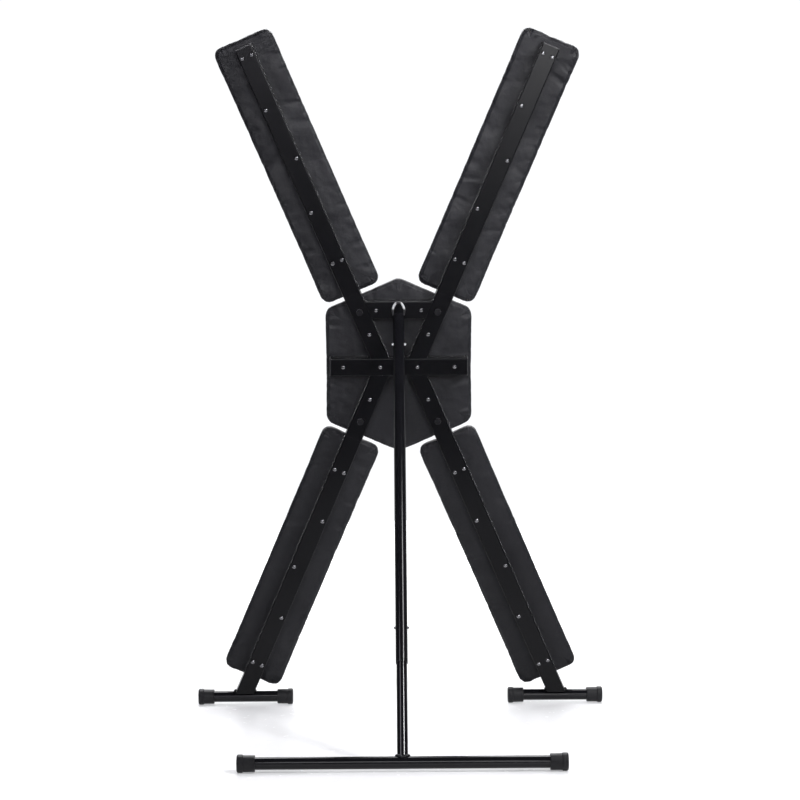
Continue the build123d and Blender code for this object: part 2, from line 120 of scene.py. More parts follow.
def add_node(tree, kind, **values):
    """A node of that kind. A value sets an input, or a property where there is no such input."""
    made = tree.nodes.new("ShaderNode" + kind)
    for name, value in values.items():
        label = name.replace("_", " ")
        if label in made.inputs:
            set_socket(tree, made.inputs[label], value)
        else:
            setattr(made, name, value)
    return made


def new_material(name):
    """An empty material: itself, its node tree, its surface shader and the object coordinates."""
    material = bpy.data.materials.new(name)
    material.use_nodes = True
    tree = material.node_tree
    surface = tree.nodes["Principled BSDF"]
    place = tree.nodes.new("ShaderNodeTexCoord").outputs["Object"]
    return material, tree, surface, place


def ramp(tree, factor, low, high, start=0.0, end=1.0):
    """Runs from one value to another as the factor goes from start to end."""
    made = add_node(tree, "MapRange", Value=factor)
    made.inputs["From Min"].default_value = start
    made.inputs["From Max"].default_value = end
    made.inputs["To Min"].default_value = low
    made.inputs["To Max"].default_value = high
    return made.outputs["Result"]


def blend_colours(tree, factor, first, second):
    """Mixes two colours; the Mix node's colour sockets stand behind those for numbers and vectors."""
    made = tree.nodes.new("ShaderNodeMix")
    made.data_type = "RGBA"
    tree.links.new(factor, made.inputs["Factor"])
    for socket, value in zip(made.inputs[6:8], (first, second)):
        colour = value if isinstance(value, bpy.types.NodeSocket) else (*value, 1)
        set_socket(tree, socket, colour)
    return made.outputs[2]


def noise(tree, place, scale, detail, roughness=0.5):
    """Noise between 0 and 1; a larger scale is finer."""
    made = add_node(tree, "TexNoise", Vector=place, Scale=scale, Detail=detail, Roughness=roughness)
    return made.outputs["Fac"]


def bumps(tree, layers):
    """Stacked bumps; each layer is (height, depth in metres, strength)."""
    normal = None
    for height, depth, strength in layers:
        made = add_node(tree, "Bump", Height=height, Distance=depth, Strength=strength)
        if normal is not None:
            tree.links.new(normal, made.inputs["Normal"])
        normal = made.outputs["Normal"]
    return normal


def multiply(tree, first, second):
    made = add_node(tree, "Math", operation="MULTIPLY")
    tree.links.new(first, made.inputs[0])
    tree.links.new(second, made.inputs[1])
    return made.outputs["Value"]


def worn_and_highlit_edges(tree, place, radius):
    """1 on sharp convex edges, broken up by noise; the finishes are lighter there, partly as worn finish
    and partly as a painted edge highlight.
    """
    bevel = add_node(tree, "Bevel", samples=4, Radius=radius)
    geometry = tree.nodes.new("ShaderNodeNewGeometry")
    turned = add_node(tree, "VectorMath", operation="DOT_PRODUCT")
    tree.links.new(bevel.outputs["Normal"], turned.inputs[0])
    tree.links.new(geometry.outputs["Normal"], turned.inputs[1])
    edge = ramp(tree, turned.outputs["Value"], 1.0, 0.0, start=0.90, end=0.995)
    patches = ramp(tree, noise(tree, place, scale=90, detail=4), 0.0, 1.0, start=0.45, end=0.7)
    return multiply(tree, edge, patches)


def set_inputs(tree, surface, **values):
    """Sets or links the inputs of the surface; an underscore stands for a space in an input's name."""
    for name, value in values.items():
        set_socket(tree, surface.inputs[name.replace("_", " ")], value)


# A little dust lights the surfaces that are seen at a grazing angle.
DUST = {"Sheen_Weight": 0.12, "Sheen_Roughness": 0.22}


def powder_coat(name, dark, light, rough, specular):
    """Satin black powder coat on square tube: orange peel, faint dust, and lighter edges that are partly
    wear and partly a painted edge highlight.
    """
    material, tree, surface, place = new_material(name)
    clouds = noise(tree, place, scale=14, detail=4)
    handling = noise(tree, place, scale=35, detail=5)
    orange_peel = noise(tree, place, scale=900, detail=2)
    waves = noise(tree, place, scale=70, detail=3)
    mottled = blend_colours(tree, clouds, dark, light)
    # Lighter edges: partly worn paint, partly a painted highlight along the bars' edges.
    worn_and_highlit = blend_colours(tree, worn_and_highlit_edges(tree, place, 0.0012), mottled, (0.03, 0.03, 0.033))
    set_inputs(
        tree,
        surface,
        Base_Color=worn_and_highlit,
        Roughness=ramp(tree, handling, rough - 0.03, rough + 0.04),
        Specular_IOR_Level=specular,
        **DUST,
        Normal=bumps(tree, [(orange_peel, 0.00012, 0.35), (waves, 0.0004, 0.05)]),
    )
    return material


def gloss_enamel(name):
    """Gloss black enamel on the round tubes, with fine handling scratches and lighter ends and edges that
    are partly wear and partly a painted highlight.
    """
    material, tree, surface, place = new_material(name)
    stretched = add_node(tree, "Mapping", Vector=place, Scale=(60, 60, 900))
    scratches = noise(tree, stretched.outputs["Vector"], scale=1.0, detail=6, roughness=0.7)
    clouds = noise(tree, place, scale=20, detail=3)
    waves = noise(tree, place, scale=260, detail=2)
    mottled = blend_colours(tree, clouds, (0.0035, 0.0035, 0.0045), (0.006, 0.006, 0.0075))
    # Lighter edges and tube ends: partly worn enamel, partly a painted highlight, such as the ring at the
    # leg tube's top end.
    worn_and_highlit = blend_colours(tree, worn_and_highlit_edges(tree, place, 0.0025), mottled, (0.20, 0.20, 0.21))
    set_inputs(
        tree,
        surface,
        Base_Color=worn_and_highlit,
        Roughness=ramp(tree, scratches, 0.08, 0.17, start=0.35, end=0.7),
        Specular_IOR_Level=0.22,
        Normal=bumps(tree, [(waves, 0.00008, 0.2), (scratches, 0.00003, 0.15)]),
    )
    return material


def plated_metal(name, colour, rough, grain):
    """Bright plated or bare steel with a fine grain and slightly tarnished patches."""
    material, tree, surface, place = new_material(name)
    dull = tuple(0.55 * part for part in colour)
    tarnish = ramp(tree, noise(tree, place, scale=120, detail=5), 0.0, 0.6, start=0.5, end=0.8)
    fine = noise(tree, place, scale=grain, detail=4)
    set_inputs(
        tree,
        surface,
        Base_Color=blend_colours(tree, tarnish, colour, dull),
        Metallic=1.0,
        Roughness=ramp(tree, fine, rough - 0.05, rough + 0.12),
        Normal=bumps(tree, [(fine, 0.00005, 0.25)]),
    )
    return material


def black_oxide(name):
    """Blackened hex bolts: semi-metallic, with bright corners that are partly wear and partly painted
    glints.
    """
    material, tree, surface, place = new_material(name)
    clouds = noise(tree, place, scale=300, detail=4)
    smudges = noise(tree, place, scale=500, detail=3)
    fine = noise(tree, place, scale=1500, detail=2)
    mottled = blend_colours(tree, clouds, (0.008, 0.008, 0.009), (0.03, 0.03, 0.033))
    # Bright corners: partly worn oxide, partly painted glints.
    worn_and_highlit = blend_colours(tree, worn_and_highlit_edges(tree, place, 0.0006), mottled, (0.11, 0.11, 0.115))
    set_inputs(
        tree,
        surface,
        Base_Color=worn_and_highlit,
        Metallic=0.85,
        Roughness=ramp(tree, smudges, 0.22, 0.4),
        Normal=bumps(tree, [(fine, 0.00004, 0.3)]),
    )
    return material


def moulded(name, dark, light, rough, grain_depth, specular):
    """Moulded rubber or plastic with a fine spark-eroded grain."""
    material, tree, surface, place = new_material(name)
    cells = add_node(tree, "TexVoronoi", Vector=place, Scale=1300.0)
    clouds = noise(tree, place, scale=40, detail=5)
    smudges = noise(tree, place, scale=60, detail=4)
    set_inputs(
        tree,
        surface,
        Base_Color=blend_colours(tree, clouds, dark, light),
        Roughness=ramp(tree, smudges, rough - 0.07, rough + 0.1),
        Specular_IOR_Level=specular,
        Normal=bumps(tree, [(cells.outputs["Distance"], grain_depth, 0.4)]),
    )
    return material


def plywood(name):
    """Birch plywood with a long grain."""
    material, tree, surface, place = new_material(name)
    stretched = add_node(tree, "Mapping", Vector=place, Scale=(90, 90, 9))
    grain = noise(tree, stretched.outputs["Vector"], scale=1.0, detail=8, roughness=0.65)
    set_inputs(
        tree,
        surface,
        Base_Color=blend_colours(tree, grain, (0.36, 0.22, 0.11), (0.62, 0.44, 0.26)),
        Roughness=ramp(tree, grain, 0.55, 0.75),
        Normal=bumps(tree, [(grain, 0.0003, 0.4)]),
    )
    return material


def open_foam(name):
    """Yellowish cut foam with open cells."""
    material, tree, surface, place = new_material(name)
    cells = add_node(tree, "TexVoronoi", Vector=place, Scale=420.0).outputs["Distance"]
    set_inputs(
        tree,
        surface,
        Base_Color=blend_colours(tree, cells, (0.30, 0.28, 0.22), (0.55, 0.52, 0.42)),
        Roughness=0.95,
        Normal=bumps(tree, [(cells, 0.0012, 0.8)]),
    )
    return material


def vinyl_cloth(name):
    """Black upholstery vinyl: pebbled grain with darker pores, soft creases and a little dust."""
    material, tree, surface, place = new_material(name)
    pebbles = add_node(tree, "TexVoronoi", Vector=place, feature="SMOOTH_F1", Scale=620.0)
    pebble_height = pebbles.outputs["Distance"]
    creases = noise(tree, place, scale=34, detail=2)
    swells = noise(tree, place, scale=11, detail=2, roughness=0.45)
    gathers = add_node(tree, "Attribute", attribute_name="gathers")
    clouds = ramp(tree, noise(tree, place, scale=6, detail=4), 0.0, 1.0, start=0.3, end=0.7)
    mottled = blend_colours(tree, clouds, (0.0124, 0.0124, 0.0147), (0.0226, 0.0226, 0.0257))
    in_pore = ramp(tree, pebble_height, 0.0, 1.0, start=0.1, end=0.7)
    pores = blend_colours(tree, in_pore, mottled, (0.008, 0.008, 0.0095))
    set_inputs(
        tree,
        surface,
        Base_Color=pores,
        Roughness=ramp(tree, creases, 0.40, 0.54, start=0.3, end=0.7),
        Specular_IOR_Level=0.16,
        **DUST,
        Normal=bumps(
            tree,
            [
                (pebble_height, 0.00025, 0.4),
                (swells, 0.013, 0.7),
                (creases, 0.0034, 0.45),
                (gathers.outputs["Fac"], -0.9, 0.9),
            ],
        ),
    )
    return material


# The bead round the leg's spigot carries a painted highlight on its two shoulders, which fades in from
# the first to the second of these distances: sideways from its middle, and below its top.
SHOULDER_OUT = (0.0055, 0.0085)
SHOULDER_BELOW = (0.021, 0.016)


def highlit_weld(name, top):
    """Weld bead round the spigot: black paint, with a painted highlight in light steel colour on its two
    shoulders.
    """
    material, tree, surface, place = new_material(name)
    split = add_node(tree, "SeparateXYZ", Vector=place)
    sideways = add_node(tree, "Math", operation="ABSOLUTE")
    tree.links.new(split.outputs["X"], sideways.inputs[0])
    out_enough = ramp(tree, sideways.outputs["Value"], 0.0, 1.0, *SHOULDER_OUT)
    high_enough = ramp(tree, split.outputs["Z"], 0.0, 1.0, *(top - drop for drop in SHOULDER_BELOW))
    # Painted highlight: the two shoulders are coloured light steel where the lamps would glint.
    painted_highlight_mask = multiply(tree, out_enough, high_enough)
    clouds = noise(tree, place, scale=500, detail=3)
    smudges = noise(tree, place, scale=700, detail=4)
    grain = noise(tree, place, scale=900, detail=3)
    highlight_steel_colour = blend_colours(tree, clouds, (0.35, 0.35, 0.36), (0.65, 0.65, 0.66))
    set_inputs(
        tree,
        surface,
        Base_Color=blend_colours(tree, painted_highlight_mask, (0.004, 0.004, 0.005), highlight_steel_colour),
        Metallic=ramp(tree, painted_highlight_mask, 0.0, 0.6),
        Roughness=ramp(tree, smudges, 0.26, 0.42),
        Normal=bumps(tree, [(grain, 0.0003, 0.5)]),
    )
    return material


FRAME_PAINT = powder_coat("frame_paint", (0.0026, 0.0026, 0.0032), (0.0036, 0.0036, 0.0044), 0.24, 0.11)
TUBE_GLOSS = gloss_enamel("tube_gloss")
BARE_STEEL = plated_metal("bare_steel", (0.42, 0.41, 0.40), 0.38, 700.0)
BRIGHT_STEEL = plated_metal("bright_steel", (0.16, 0.16, 0.167), 0.20, 900.0)
# A brighter steel only for the upper snap buttons: a painted highlight on them.
HIGHLIT_BUTTON_STEEL = plated_metal("button_steel", (0.62, 0.62, 0.63), 0.24, 900.0)
BOLT_BLACK = black_oxide("bolt_black")
SPRING_STEEL = plated_metal("spring_steel", (0.30, 0.31, 0.34), 0.30, 1100.0)
PLUG_PLASTIC = moulded("plug_plastic", (0.010, 0.010, 0.011), (0.020, 0.020, 0.022), 0.34, 0.00008, 0.45)
CAP_RUBBER = moulded("cap_rubber", (0.004, 0.004, 0.005), (0.008, 0.008, 0.0095), 0.46, 0.00018, 0.24)
PLYWOOD = plywood("plywood")
FOAM = open_foam("foam")
VINYL = vinyl_cloth("vinyl")

MATERIALS = {
    "frame_paint": FRAME_PAINT,
    "tube_gloss": TUBE_GLOSS,
    "bare_steel": BARE_STEEL,
    "bright_steel": BRIGHT_STEEL,
    "bolt_black": BOLT_BLACK,
    "spring_steel": SPRING_STEEL,
    "plug_plastic": PLUG_PLASTIC,
    "cap_rubber": CAP_RUBBER,
    "plywood": PLYWOOD,
    "foam": FOAM,
    "vinyl": VINYL,
}


def finish_cad_nodes():
    """Each CAD node gets the material of its slot in the record; the upper snap buttons get a brighter
    steel instead, which is a painted highlight.
    """
    for row in frame["record"]["subparts"]:
        mesh = frame["nodes"][row["node"]].data
        mesh.materials.clear()
        gets_highlight_steel = "upper_snap_button" in row["node"]
        mesh.materials.append(HIGHLIT_BUTTON_STEEL if gets_highlight_steel else MATERIALS[row["material_slot"]])


# ---- Pads ----
OUTLINE_STEP = 0.005        # between the points of a pad's outline
VOXEL = 0.005
BACK_EDGE = 0.008           # roll of the vinyl round the board's back edge
FRONT_EDGE = 0.020
EDGE_STEPS = 5              # rings round each rolled edge
ARM_PAD_CORNER = 0.026
TORSO_CORNER = 0.030

CROWN = 0.014               # the front is this much lower at its edges than in the middle
CROWN_REACH = 0.055

SWELL_ROOM = 0.0013         # the form starts this much inside its CAD solid
SWELL_CAP = 0.006           # the cloth may lift the front by up to this
SIDE_CAP = 0.0012           # and move the sides by up to this
BOARD_FACE = 0.002          # the form's points below this height lie on the board
PRESSURE = 4.0
SIM_FRAMES = 20

SIDE_SLOT = 0.02            # the sides are brought out to the outline in stretches of this length
SIDE_DEPTH = 0.03           # and that move fades out over this depth
SIDE_DIP = 0.0014           # the sides stand this much inside the outline away from the corners
SIDE_DIP_REACH = 0.15

BACK_PART = 0.3             # share of the thickness that is pressed like the back
BACK_GAP = 0.0003           # the vinyl's back clears the bars' faces by this much
BOARD_CLEAR = 0.0011        # creases over the board are never deeper than this
EDGE_CREASE = 0.0018        # greatest depth of a crease on the rolled back edge
SIDE_CREASE = 0.0008        # and on the pad's sides and front
BOARD_START = 0.005         # the board begins this far inside the outline
BOARD_BLEND = 0.004
HELD_FROM = 0.006           # the back is kept on the board from here inwards

SEAM_INSET = 0.0070         # from the outline to the seam on the back
SEAM_WIDTH = 0.0026
SEAM_DEPTH = 0.0008
SEAM_LOOK = 2.0             # the seam is shaded as if it were this much deeper

# Creases square to the outline: how far apart, half width, reach in from the edge, and depth.
SMALL_CREASES = {
    "pitch": 0.024,
    "width": (0.004, 0.007),
    "reach": (0.014, 0.045),
    "height": (0.0004, 0.0016),
}
LONG_CREASES = {
    "pitch": 0.085,
    "width": (0.006, 0.011),
    "reach": (0.04, 0.09),
    "height": (0.0010, 0.0030),
}
CREASE_SKEW = 0.5
CREASE_LEAD = 0.002         # a crease begins this far outside the rolled edge
CREASE_SPREAD = 0.8         # a crease is this much wider at its inner end
CREASE_FADE = 1.2

# Folds fanned round each corner.
PLEATS_EACH_WAY = 2
PLEAT_PITCH = 0.009
PLEAT_SHIFT = 0.002
PLEAT_WIDTH = 0.0036
PLEAT_REACH = (0.020, 0.040)
PLEAT_HEIGHT = (0.0016, 0.0030)

# Each pad draws its creases from its own seed; the arm pads' seeds count up from the first.
TORSO_SEED = 11
FIRST_ARM_SEED = 21


def round_corners(corners, radius):
    """Outline points of a convex polygon with rounded corners, anticlockwise."""
    points = []
    count = len(corners)
    for i in range(count):
        here = Vector(corners[i])
        to_last = (Vector(corners[i - 1]) - here).normalized()
        to_next = (Vector(corners[(i + 1) % count]) - here).normalized()
        half = to_last.angle(to_next) / 2
        centre = here + (to_last + to_next).normalized() * (radius / math.sin(half))
        turn = math.pi - 2 * half
        outward = -Vector((-to_last.y, to_last.x))
        if outward.dot(here - centre) < 0:
            outward = -outward
        steps = max(2, round(turn * radius / OUTLINE_STEP))
        for k in range(steps + 1):
            points.append(centre + Matrix.Rotation(turn * k / steps, 2) @ outward * radius)
    spaced = []
    for i, point in enumerate(points):
        ahead = points[(i + 1) % len(points)]
        pieces = max(1, round((ahead - point).length / OUTLINE_STEP))
        spaced += [point.lerp(ahead, k / pieces) for k in range(pieces)]
    return np.array(spaced)


def outline_normals(outline):
    """Unit normals that point out of an anticlockwise outline."""
    tangent = np.roll(outline, -1, 0) - np.roll(outline, 1, 0)
    tangent /= np.linalg.norm(tangent, axis=1)[:, None]
    return np.stack([tangent[:, 1], -tangent[:, 0]], 1)


POINTS_AT_ONCE = 4000       # keeps the table of gaps small


def along_and_depth(outline, flat):
    """For points in the pad's plane: place along the outline, depth inside it, length and normals."""
    lengths = np.linalg.norm(np.roll(outline, -1, 0) - outline, axis=1)
    run = np.concatenate([[0], np.cumsum(lengths)[:-1]])
    normals = outline_normals(outline)
    nearest = np.empty(len(flat), int)
    for start in range(0, len(flat), POINTS_AT_ONCE):
        part = flat[start : start + POINTS_AT_ONCE]
        gaps = ((part[:, None, :] - outline[None]) ** 2).sum(2)
        nearest[start : start + POINTS_AT_ONCE] = gaps.argmin(1)
    away = flat - outline[nearest]
    tangent = np.stack([-normals[nearest, 1], normals[nearest, 0]], 1)
    depth = -(away * normals[nearest]).sum(1)
    return run[nearest] + (away * tangent).sum(1), depth, lengths.sum(), normals[nearest]


def pad_form(outline, thick):
    """Closed slab with a rolled back edge and a softer front edge; z from 0 at the back."""
    normals = outline_normals(outline)
    top = thick - CROWN
    turns = [math.pi / 2 * k / EDGE_STEPS for k in range(EDGE_STEPS + 1)]
    rounds = [(1 - math.sin(turn), 1 - math.cos(turn)) for turn in turns]
    profile = [(SWELL_ROOM + BACK_EDGE * inset, BACK_EDGE * rise) for inset, rise in rounds]
    profile += [(SWELL_ROOM + FRONT_EDGE * inset, top - FRONT_EDGE * drop) for drop, inset in rounds]
    bm = bmesh.new()
    rings = []
    for inset, height in profile:
        ring = [bm.verts.new((x, y, height)) for x, y in outline - normals * inset]
        rings.append(ring)
    count = len(outline)
    for low, high in zip(rings, rings[1:]):
        for i in range(count):
            j = (i + 1) % count
            bm.faces.new((low[i], low[j], high[j], high[i]))
    bm.faces.new(rings[0][::-1])
    bm.faces.new(rings[-1])
    return add_mesh("pad_form", bm)


def baked(source):
    """A new mesh of the object as its modifiers make it; the modifiers are dropped."""
    depsgraph = bpy.context.evaluated_depsgraph_get()
    mesh = bpy.data.meshes.new_from_object(source.evaluated_get(depsgraph))
    source.modifiers.clear()
    old = source.data
    source.data = mesh
    bpy.data.meshes.remove(old)


def set_points(mesh, points):
    mesh.vertices.foreach_set("co", points.ravel())
    mesh.update()


def smooth_step(x):
    """0 below 0, 1 above 1 and a smooth rise between."""
    t = np.clip(x, 0, 1)
    return t * t * (3 - 2 * t)


def crown_front(form, outline, thick):
    """Raises the front to a crown, falling off towards its edges."""
    points = vertex_vectors(form.data)
    depth = along_and_depth(outline, points[:, :2])[1]
    front = smooth_step((points[:, 2] - 0.5 * thick) / (0.5 * thick - CROWN))
    points[:, 2] += (CROWN - SWELL_CAP) * front * smooth_step(depth / CROWN_REACH)
    set_points(form.data, points)


def inflate(form):
    """Lets the vinyl swell over the foam under light pressure; the board holds its back flat."""
    before = vertex_vectors(form.data)
    held = form.vertex_groups.new(name="board")
    on_board = np.nonzero(before[:, 2] < BOARD_FACE)[0]
    held.add([int(i) for i in on_board], 1.0, "REPLACE")
    cloth = form.modifiers.new("cloth", "CLOTH")
    settings = cloth.settings
    settings.vertex_group_mass = "board"
    settings.quality = 4
    settings.mass = 0.4
    settings.tension_stiffness = 12
    settings.compression_stiffness = 12
    settings.bending_stiffness = 0.6
    settings.shrink_min = -0.012
    settings.use_pressure = True
    settings.uniform_pressure_force = PRESSURE
    settings.effector_weights.gravity = 0
    cloth.point_cache.frame_end = SIM_FRAMES
    for number in range(1, SIM_FRAMES + 1):
        bpy.context.scene.frame_set(number)
    baked(form)
    bpy.context.scene.frame_set(1)
    move = vertex_vectors(form.data) - before
    move[:, :2] = SIDE_CAP * np.tanh(move[:, :2] / SIDE_CAP)
    move[:, 2] = SWELL_CAP * np.tanh(move[:, 2] / SWELL_CAP)
    set_points(form.data, before + move)


def fill_outline(points, outline, corners):
    """Brings the sides out to the outline at the corners and a little inside it between them."""
    run, depth, length, outward = along_and_depth(outline, points[:, :2])
    slots = round(length / SIDE_SLOT)
    slot = np.floor(run / length * slots).astype(int) % slots
    gap = np.array([depth[slot == k].min() for k in range(slots)])
    gap = (np.roll(gap, 1) + 2 * gap + np.roll(gap, -1)) / 4
    short = np.interp(run / length * slots - 0.5, np.arange(slots), gap, period=slots)
    from_corner = np.min([np.hypot(*(points[:, :2] - corner).T) for corner in corners], axis=0)
    short -= SIDE_DIP * smooth_step(from_corner / SIDE_DIP_REACH)
    points[:, :2] += outward * (short * (1 - smooth_step(depth / SIDE_DEPTH)))[:, None]


def crease_set(draw, length, pitch, width, reach, height):
    """Creases square to the outline: place along it, half width, reach in, depth and skew."""
    return [
        (
            draw.uniform(0, length),
            draw.uniform(*width),
            draw.uniform(*reach),
            draw.uniform(*height),
            draw.uniform(-CREASE_SKEW, CREASE_SKEW),
        )
        for _ in range(round(length / pitch))
    ]


def corner_pleats(draw, corner_runs):
    """Small folds fanned round each corner, where the vinyl was gathered under the staples."""
    return [
        (
            run + step * PLEAT_PITCH + draw.uniform(-PLEAT_SHIFT, PLEAT_SHIFT),
            PLEAT_WIDTH,
            draw.uniform(*PLEAT_REACH),
            draw.uniform(*PLEAT_HEIGHT),
            0.0,
        )
        for run in corner_runs
        for step in range(-PLEATS_EACH_WAY, PLEATS_EACH_WAY + 1)
    ]


def pressed_creases(run, depth, length, creases):
    """Sum of the creases' depths at each point; they start at the rolled edge and fade inwards."""
    total = np.zeros(len(run))
    start = smooth_step((depth + CREASE_LEAD) / BACK_EDGE)
    for place, width, reach, height, skew in creases:
        gap = (run - place - skew * depth + length / 2) % length - length / 2
        spread = width * (1 + CREASE_SPREAD * depth / reach)
        fade = np.clip(1 - depth / reach, 0, 1) ** CREASE_FADE * start
        total += height * np.exp(-((gap / spread) ** 2)) * fade
    return total


def press_creases(points, normals, outline, corners, thick, seed):
    """Presses gathers and a seam into the edges; returns how deep each point's gathers look."""
    draw = random.Random(seed)
    run, depth, length, _ = along_and_depth(outline, points[:, :2])
    depth = np.maximum(depth, 0)
    creases = crease_set(draw, length, **SMALL_CREASES)
    creases += crease_set(draw, length, **LONG_CREASES)
    creases += corner_pleats(draw, along_and_depth(outline, np.array(corners))[0])
    gathers = pressed_creases(run, depth, length, creases)
    on_back = points[:, 2] < BACK_PART * thick
    over_board = smooth_step((depth - BOARD_START) / BOARD_BLEND)
    limit = EDGE_CREASE - (EDGE_CREASE - BOARD_CLEAR) * over_board
    limit = np.where(on_back, limit, SIDE_CREASE)
    press = limit * np.tanh(gathers / limit)
    seam = SEAM_DEPTH * np.exp(-(((depth - SEAM_INSET) / SEAM_WIDTH) ** 2))
    press += np.where(on_back & (points[:, 2] < BACK_EDGE), seam * (1 - over_board), 0)
    points -= normals * press[:, None]
    held_up = on_back & (depth > HELD_FROM)
    points[held_up, 2] = np.minimum(points[held_up, 2], BOARD_CLEAR)
    points[:, 2] = np.clip(points[:, 2], BACK_GAP, thick)
    return gathers + SEAM_LOOK * seam


def build_pad(name, body, axes, corners_of, corner, seed):
    """One upholstered pad in the space of its CAD cover."""
    low, high = extent(f"{name}_cover", axes)
    half = (high - low) / 2
    thick = 2 * half[2]
    corners = corners_of(half)
    outline = round_corners(corners, corner)
    pad = pad_form(outline, thick)
    remesh = pad.modifiers.new("remesh", "REMESH")
    remesh.mode = "VOXEL"
    remesh.voxel_size = VOXEL
    baked(pad)
    crown_front(pad, outline, thick)
    inflate(pad)
    subdivide = pad.modifiers.new("subdivide", "SUBSURF")
    subdivide.levels = 1
    baked(pad)
    points = vertex_vectors(pad.data)
    fill_outline(points, outline, corners)
    gathers = press_creases(points, vertex_vectors(pad.data, "normal"), outline, corners, thick, seed)
    pad.data.attributes.new("gathers", "FLOAT", "POINT").data.foreach_set("value", gathers)
    points += np.array([*(low + half)[:2], low[2]])
    set_points(pad.data, points @ np.array(axes, float))
    pad.name = f"{name}_pad"
    pad.data.materials.clear()
    pad.data.materials.append(VINYL)
    pad.data.polygons.foreach_set("use_smooth", [True] * len(pad.data.polygons))
    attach(pad, body)
    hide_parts(f"{name}_cover", f"{name}_foam")


def rectangle_corners(half):
    return [(half[0], -half[1]), (half[0], half[1]), (-half[0], half[1]), (-half[0], -half[1])]


def hexagon_corners(half):
    """The rounded apex stands lower than the sharp one that the slanted edges would meet in."""
    apex = half[1] + TORSO_CORNER * (1 / math.cos(ARM_ANGLE) - 1)
    shoulder = apex - half[0] * math.tan(ARM_ANGLE)
    return [
        (half[0], -shoulder),
        (half[0], shoulder),
        (0, apex),
        (-half[0], shoulder),
        (-half[0], -shoulder),
        (0, -apex),
    ]


# ---- Weld beads ----
BEAD_R = 0.0036
BEAD_SIDES = 10
BEAD_STEP = 0.0007          # between the rings of a bead
RIPPLE_PITCH = 0.0026
RIPPLE_SWELL = 0.10         # share of the radius
BEAD_END = 0.35             # an open bead tapers to this share of its radius
# A bead's centre stands this many bead radii off each surface.
OFF_WALL = 0.5
OFF_BAR = 0.3
OFF_BASE = 0.4
RING_POINTS = 48


def bead_rings(path, closed):
    """Rings round a path, swelling and shrinking like a string of small weld puddles."""
    rings = []
    run = 0.0
    for i, point in enumerate(path):
        last = path[i - 1] if (i or closed) else point
        ahead = path[(i + 1) % len(path)] if (i + 1 < len(path) or closed) else point
        along = (ahead - last).normalized()
        side = side - along * side.dot(along) if rings else along.orthogonal()
        side.normalize()
        up = along.cross(side)
        run += (point - last).length
        radius = BEAD_R * (1 + RIPPLE_SWELL * math.sin(2 * math.pi * run / RIPPLE_PITCH))
        if not closed and i in (0, len(path) - 1):
            radius *= BEAD_END
        rings.append(
            [
                point + (side * math.cos(turn) + up * math.sin(turn)) * radius
                for turn in (2 * math.pi * k / BEAD_SIDES for k in range(BEAD_SIDES))
            ]
        )
    return rings


def resample(path, closed):
    """The same line with points close enough together to show the ripples."""
    spaced = []
    ends = path[1:] + ([path[0]] if closed else [])
    for point, ahead in zip(path, ends):
        count = max(1, round((ahead - point).length / BEAD_STEP))
        spaced += [point.lerp(ahead, k / count) for k in range(count)]
    return spaced if closed else spaced + [path[-1]]


def weld_beads(name, body, paths, material):
    """One piece made of a bead along each (points, closed) path."""
    bm = bmesh.new()
    for path, closed in paths:
        rings = [[bm.verts.new(p) for p in ring] for ring in bead_rings(resample(path, closed), closed)]
        pairs = list(zip(rings, rings[1:]))
        if closed:
            pairs.append((rings[-1], rings[0]))
        for low, high in pairs:
            for k in range(BEAD_SIDES):
                m = (k + 1) % BEAD_SIDES
                bm.faces.new((low[k], low[m], high[m], high[k]))
        if not closed:
            bm.faces.new(rings[0][::-1])
            bm.faces.new(rings[-1])
    bmesh.ops.recalc_face_normals(bm, faces=bm.faces)
    beads = add_mesh(name, bm)
    beads.data.polygons.foreach_set("use_smooth", [True] * len(beads.data.polygons))
    beads.data.materials.append(material)
    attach(beads, body)


def leg_line():
    """A point on the leg's axis and the direction down it, from the tube's own vertices."""
    points = node_points("leg_tube")
    centre = points.mean(0)
    down = Vector(np.linalg.svd(points - centre, full_matrices=False)[2][0])
    return Vector(centre), down if down.z < 0 else -down


def build_leg_welds():
    """Beads round the leg's spigot on the bridge bar and round the riser on the rear base."""
    axis_point, down = leg_line()
    across = RIGHT.cross(down).normalized()
    inner_r = extent("leg_riser", (RIGHT,))[1][0]
    base_low, base_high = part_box("base_tube")
    base_axis = (base_low + base_high) / 2
    tube_r = (base_high.z - base_low.z) / 2
    back_face = extent("bridge_bar", (FRONT,))[0][0]
    spigot_path = []
    riser_path = []
    for k in range(RING_POINTS):
        turn = 2 * math.pi * k / RING_POINTS
        outward = (RIGHT * math.cos(turn) + across * math.sin(turn)) * (inner_r + OFF_WALL * BEAD_R)
        start = axis_point + outward
        drop = (back_face - OFF_BAR * BEAD_R - start.dot(FRONT)) / down.dot(FRONT)
        spigot_path.append(start + down * drop)
        reach = math.sqrt((tube_r + OFF_BASE * BEAD_R) ** 2 - (inner_r * math.sin(turn)) ** 2)
        riser_path.append(base_axis + outward - down * reach)
    weld = highlit_weld("weld_bead", max(point.z for point in spigot_path))
    weld_beads("spigot_weld_bead", "cross", [(spigot_path, True)], weld)
    weld_beads("riser_weld_bead", "rear_base", [(riser_path, True)], TUBE_GLOSS)


# The hub's beads run between these shares of the bars' half depth, from the front to the back.
HUB_BEAD_RUN = (0.9, -0.97)


